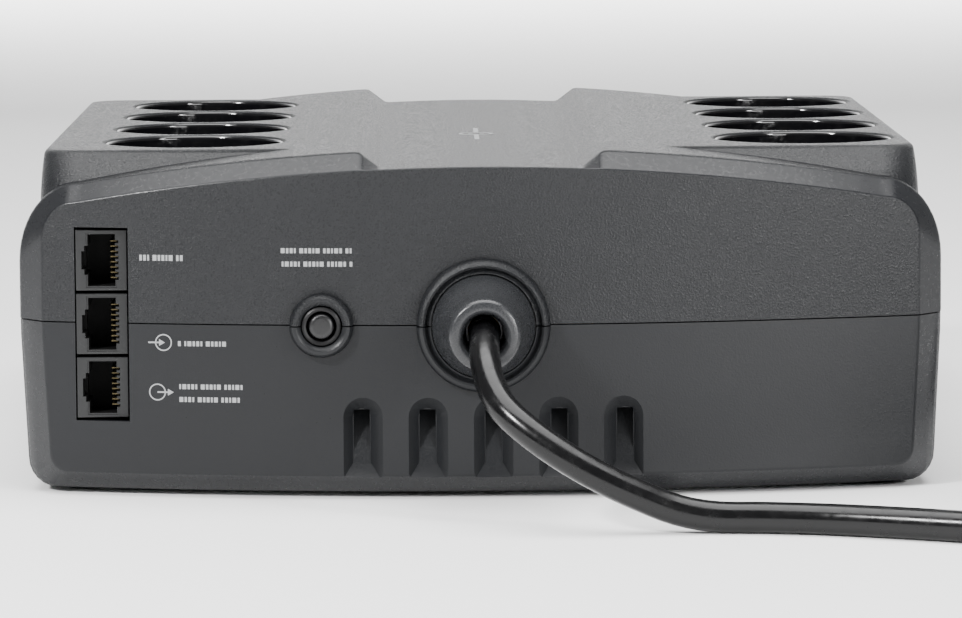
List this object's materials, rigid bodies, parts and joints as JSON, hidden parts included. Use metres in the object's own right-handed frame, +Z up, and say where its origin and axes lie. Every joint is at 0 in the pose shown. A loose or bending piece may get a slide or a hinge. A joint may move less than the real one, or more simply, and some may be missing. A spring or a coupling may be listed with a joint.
{
  "type": "uninterruptible power supply",
  "caption": "Desktop uninterruptible power supply in a low charcoal case, with earthed outlet wells on top, data jacks, a breaker and a captive mains lead at the rear.",
  "frame": {"origin": "on the floor under the middle of the case, lead left out", "axes": "+Z up, rear panel with the lead at -Y, power button at +Y, data jacks on the -X side"},
  "size_m": [0.3441, 0.4161, 0.0833],
  "materials": {
    "case": "fine spark-eroded grain",
    "sockets": "polished",
    "contacts": "bright",
    "jacks": "satin",
    "breaker": "satin",
    "knobs": "satin",
    "lenses": "clear",
    "cord": "satin",
    "tie": "satin",
    "plug": "satin",
    "feet": "matt",
    "screws": "zinc plated",
    "core": "varnished laminations",
    "winding": "polyester tape",
    "bracket": "zinc plated",
    "fins": "plain",
    "relays": "satin",
    "sleeves": "shrink sleeve",
    "boards": "solder mask",
    "leads": "satin",
    "battery": "moulded"
  },
  "bodies": {
    "case": {"base_shell": "case", "battery": "battery", "battery_lead_black": "leads", "battery_lead_red": "leads", "breaker_body": "breaker", "buzzer": "relays", "capacitor_1": "sleeves", "capacitor_2": "sleeves", "case_screw_1": "screws", "case_screw_2": "screws", "case_screw_3": "screws", "case_screw_4": "screws", "cord_coil": "cord", "cord_tail": "cord", "cord_tie": "tie", "data_board": "boards", "data_jack_1": "jacks", "data_jack_2": "jacks", "data_jack_3": "jacks", "display_board": "boards", "earth_rail_left": "contacts", "earth_rail_right": "contacts", "foot_1": "feet", "foot_2": "feet", "foot_3": "feet", "foot_4": "feet", "heat_sink_1": "fins", "heat_sink_2": "fins", "indicator_1": "lenses", "indicator_2": "lenses", "indicator_3": "lenses", "indicator_4": "lenses", "live_rail_left": "contacts", "live_rail_right": "contacts", "main_board": "boards", "neutral_rail_left": "contacts", "neutral_rail_right": "contacts", "plug": "plug", "power_cord": "cord", "relay_1": "relays", "relay_2": "relays", "socket_left_1": "sockets", "socket_left_2": "sockets", "socket_left_3": "sockets", "socket_left_4": "sockets", "socket_right_1": "sockets", "socket_right_2": "sockets", "socket_right_3": "sockets", "socket_right_4": "sockets", "strain_relief": "cord", "top_cover": "case", "transformer_bracket": "bracket", "transformer_coil": "winding", "transformer_core": "core"},
    "power_button": {"power_button": "knobs"},
    "breaker_button": {"breaker_button": "knobs"},
    "battery_door": {"battery_door": "case"}
  },
  "joints": [
    {"name": "power_button_press", "type": "slide", "parent": "case", "child": "power_button", "axis": [0, -0.4437, -0.8962], "range_m": [0, 0.0015], "stiffness_N_per_m": 400},
    {"name": "breaker_button_press", "type": "slide", "parent": "case", "child": "breaker_button", "axis": [0, -1, 0], "range_m": [0, 0.0045]},
    {"name": "battery_door_slide", "type": "slide", "parent": "case", "child": "battery_door", "axis": [0, 1, 0], "range_m": [0, 0.012]}
  ]
}
